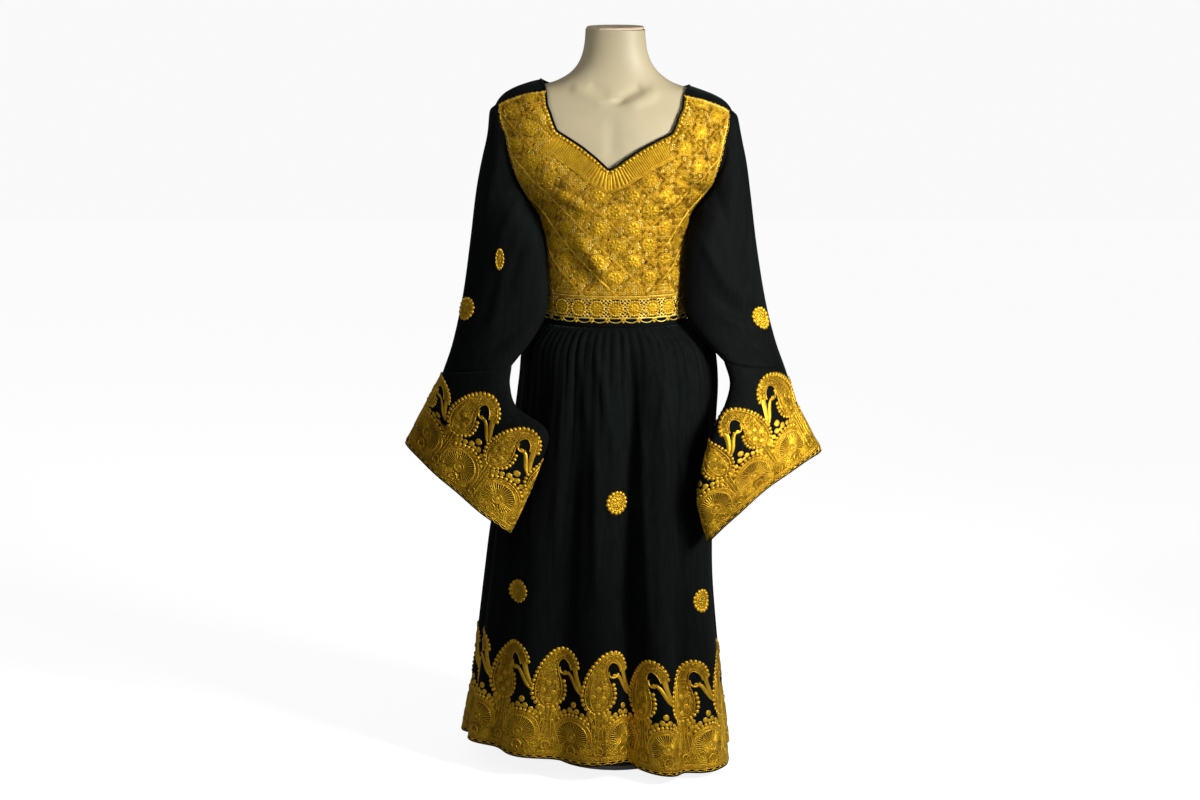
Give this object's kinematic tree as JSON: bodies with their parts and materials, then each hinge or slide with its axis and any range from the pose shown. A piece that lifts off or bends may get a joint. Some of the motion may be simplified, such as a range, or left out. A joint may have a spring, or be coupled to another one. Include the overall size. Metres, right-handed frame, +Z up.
{
  "type": "embroidered velvet dress on a dress form",
  "caption": "Long dark velvet dress with dense gold embroidery, sweetheart neckline, flared sleeves and a gathered skirt, worn by a limbless dress form on a round stand.",
  "frame": {"origin": "centre of the stand base's underside, on the floor under the form's pole", "axes": "+Z up; -Y is the front of the dress; +X is the viewer's right when facing it"},
  "size_m": [0.7562, 0.4235, 1.3483],
  "materials": {
    "black_velvet": "deep green-black pile velvet with a soft teal sheen",
    "gold_embroidery": "dense metallic gold thread embroidery",
    "form_shell": "smooth cream, satin",
    "neck_cap": "matt brown",
    "stand_metal": "off-white paint"
  },
  "bodies": {
    "root": {"stand_base": "stand_metal", "stand_pole": "stand_metal", "form_torso": "form_shell", "form_neck_cap": "neck_cap", "bodice_front": "gold_embroidery", "bodice_back": "black_velvet", "neck_binding": "black_velvet", "waistband": "black_velvet", "skirt_front": "black_velvet", "skirt_back": "black_velvet", "sleeve_left": "black_velvet", "sleeve_right": "black_velvet", "sleeve_bell_left": "black_velvet", "sleeve_bell_right": "black_velvet"}
  },
  "joints": []
}
